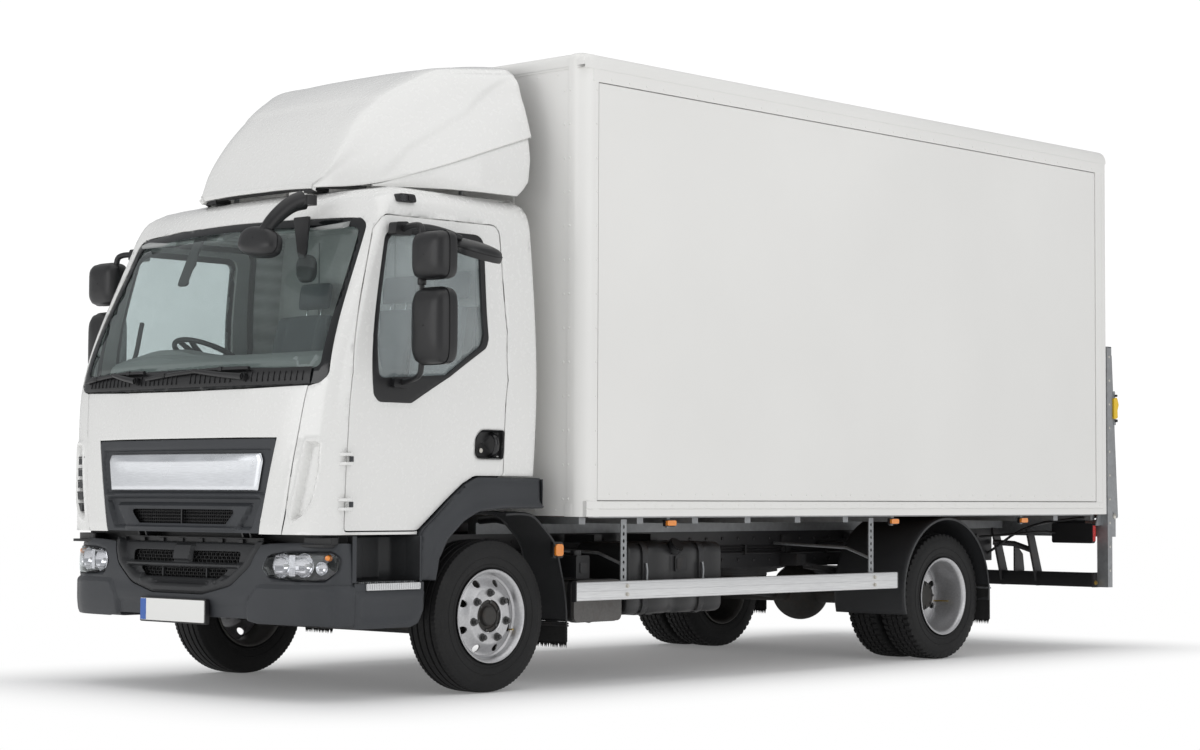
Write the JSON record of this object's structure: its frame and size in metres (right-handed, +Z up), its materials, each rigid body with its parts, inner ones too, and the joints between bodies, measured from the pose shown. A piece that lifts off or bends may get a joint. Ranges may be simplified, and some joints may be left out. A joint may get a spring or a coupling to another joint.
{
  "type": "box truck",
  "caption": "Two-axle rigid truck with tilting cab, roof deflector, box body and column tail lift.",
  "frame": {"origin": "on the ground, midway along the overall length, on the centre plane", "axes": "+X to the truck's left side, -Y forward, +Z up"},
  "size_m": [2.87, 6.995, 3.3499],
  "materials": {
    "white_paint": "gloss white",
    "chassis_paint": "satin dark grey",
    "grey_plastic": "grained",
    "dark_plastic": "satin",
    "glass": "clear, lightly tinted",
    "lamp_glass": "clear lens",
    "tyre": "matt",
    "wheel_steel": "silver paint",
    "aluminium": "mill finish",
    "steel": "galvanised",
    "cast_iron": "rough",
    "wood": "resin-faced plywood",
    "seat_fabric": "woven"
  },
  "bodies": {
    "chassis": {"chassis_frame": "chassis_paint", "front_axle": "chassis_paint", "leaf_springs": "chassis_paint", "rear_axle": "chassis_paint", "engine": "cast_iron", "driveline": "cast_iron", "fuel_tank": "aluminium", "battery_box": "dark_plastic", "silencer": "steel", "step_boxes": "grey_plastic", "mudguards": "grey_plastic", "side_guards": "aluminium", "underrun_frame": "chassis_paint", "rear_lamps": "dark_plastic", "front_bumper": "grey_plastic", "lower_grille": "grey_plastic", "head_lamps": "lamp_glass", "body_subframe": "steel", "box_floor": "wood", "box_left_wall": "white_paint", "box_right_wall": "white_paint", "box_front_wall": "white_paint", "box_roof": "white_paint", "box_rear_frame": "white_paint", "roller_shutter": "aluminium"},
    "cab": {"cab_shell": "white_paint", "windscreen": "glass", "front_panel": "white_paint", "upper_grille": "grey_plastic", "roof_fairing": "white_paint", "arch_flares": "grey_plastic", "dashboard": "dark_plastic", "steering_wheel": "dark_plastic", "driver_seat": "seat_fabric", "passenger_seats": "seat_fabric", "front_mirror": "dark_plastic"},
    "door_left_body": {"door_left": "white_paint", "door_left_glass": "glass", "mirrors_left": "dark_plastic"},
    "door_right_body": {"door_right": "white_paint", "door_right_glass": "glass", "mirrors_right": "dark_plastic"},
    "steer_left_body": {"knuckle_left": "cast_iron"},
    "steer_right_body": {"knuckle_right": "cast_iron"},
    "tie_rod_body": {"tie_rod": "steel"},
    "wheel_front_left": {"front_left_tyre": "tyre", "front_left_rim": "wheel_steel"},
    "wheel_front_right": {"front_right_tyre": "tyre", "front_right_rim": "wheel_steel"},
    "wheel_rear_left": {"rear_left_tyres": "tyre", "rear_left_rims": "wheel_steel"},
    "wheel_rear_right": {"rear_right_tyres": "tyre", "rear_right_rims": "wheel_steel"},
    "lift_carriage_body": {"lift_carriage": "steel"},
    "lift_platform_body": {"lift_platform": "aluminium"}
  },
  "joints": [
    {"name": "cab_tilt", "type": "hinge", "parent": "chassis", "child": "cab", "pos_m": [0, -3.4175, 0.87], "axis": [1, 0, 0], "range_deg": [0, 50]},
    {"name": "door_left_hinge", "type": "hinge", "parent": "cab", "child": "door_left_body", "pos_m": [1.066, -3.2675, 1.2], "axis": [0, 0, -1], "range_deg": [0, 70]},
    {"name": "door_right_hinge", "type": "hinge", "parent": "cab", "child": "door_right_body", "pos_m": [-1.066, -3.2675, 1.2], "axis": [0, 0, 1], "range_deg": [0, 70]},
    {"name": "steer_left", "type": "hinge", "parent": "chassis", "child": "steer_left_body", "pos_m": [0.8, -2.3175, 0.391], "axis": [0, 0, 1], "range_deg": [-35, 35]},
    {"name": "steer_right", "type": "hinge", "parent": "chassis", "child": "steer_right_body", "pos_m": [-0.8, -2.3175, 0.391], "axis": [0, 0, 1], "range_deg": [-35, 35]},
    {"name": "tie_rod_pivot", "type": "hinge", "parent": "steer_left_body", "child": "tie_rod_body", "pos_m": [0.8, -2.1575, 0.308], "axis": [0, 0, 1], "range_deg": [-35, 35]},
    {"name": "wheel_front_left_spin", "type": "hinge", "parent": "steer_left_body", "child": "wheel_front_left", "pos_m": [0.962, -2.3175, 0.391], "axis": [1, 0, 0], "continuous": true},
    {"name": "wheel_front_right_spin", "type": "hinge", "parent": "steer_right_body", "child": "wheel_front_right", "pos_m": [-0.962, -2.3175, 0.391], "axis": [1, 0, 0], "continuous": true},
    {"name": "wheel_rear_left_spin", "type": "hinge", "parent": "chassis", "child": "wheel_rear_left", "pos_m": [0.898, 1.5825, 0.391], "axis": [1, 0, 0], "continuous": true},
    {"name": "wheel_rear_right_spin", "type": "hinge", "parent": "chassis", "child": "wheel_rear_right", "pos_m": [-0.898, 1.5825, 0.391], "axis": [1, 0, 0], "continuous": true},
    {"name": "lift_slide", "type": "slide", "parent": "chassis", "child": "lift_carriage_body", "axis": [0, 0, -1], "range_m": [-0.085, 0.74]},
    {"name": "platform_fold", "type": "hinge", "parent": "lift_carriage_body", "child": "lift_platform_body", "pos_m": [0, 3.4225, 0.885], "axis": [-1, 0, 0], "range_deg": [0, 90]}
  ],
  "couplings": [
    {"joint": "steer_right", "follows": "steer_left", "ratio": 1},
    {"joint": "tie_rod_pivot", "follows": "steer_left", "ratio": -1}
  ]
}
